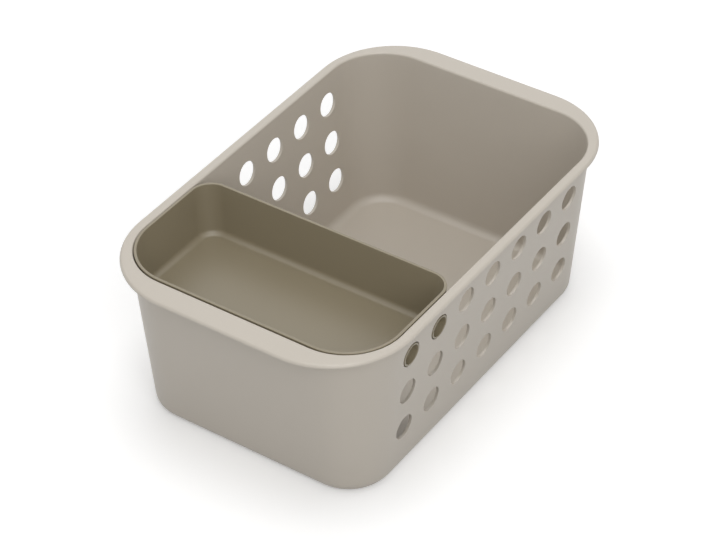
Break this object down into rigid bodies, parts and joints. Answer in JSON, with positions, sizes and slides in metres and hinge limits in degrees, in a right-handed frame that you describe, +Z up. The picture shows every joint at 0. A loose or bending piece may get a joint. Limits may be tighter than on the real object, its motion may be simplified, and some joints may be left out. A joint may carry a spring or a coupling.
{
  "type": "bathroom organizer",
  "caption": "Tapered storage basket with vented side walls and a hand-hold rim, and a lift-out tray pegged into the side holes at one end.",
  "frame": {"origin": "on the table, under the middle of the basket's bounding box", "axes": "+Z up, Y along the basket's length with the tray end at -Y, X across it"},
  "size_m": [0.2028, 0.3138, 0.1187],
  "materials": {
    "basket_plastic": "fine matte moulded texture",
    "tray_plastic": "fine matte moulded texture"
  },
  "bodies": {
    "basket": {"basket": "basket_plastic"},
    "tray": {"tray": "tray_plastic", "peg_left_1": "tray_plastic", "peg_left_2": "tray_plastic", "peg_right_1": "tray_plastic", "peg_right_2": "tray_plastic"}
  },
  "joints": [
    {"name": "tray_lift", "type": "slide", "parent": "basket", "child": "tray", "axis": [0, 0, 1], "range_m": [0, 0.075], "deforming": ["peg_left_1", "peg_left_2", "peg_right_1", "peg_right_2"]}
  ]
}
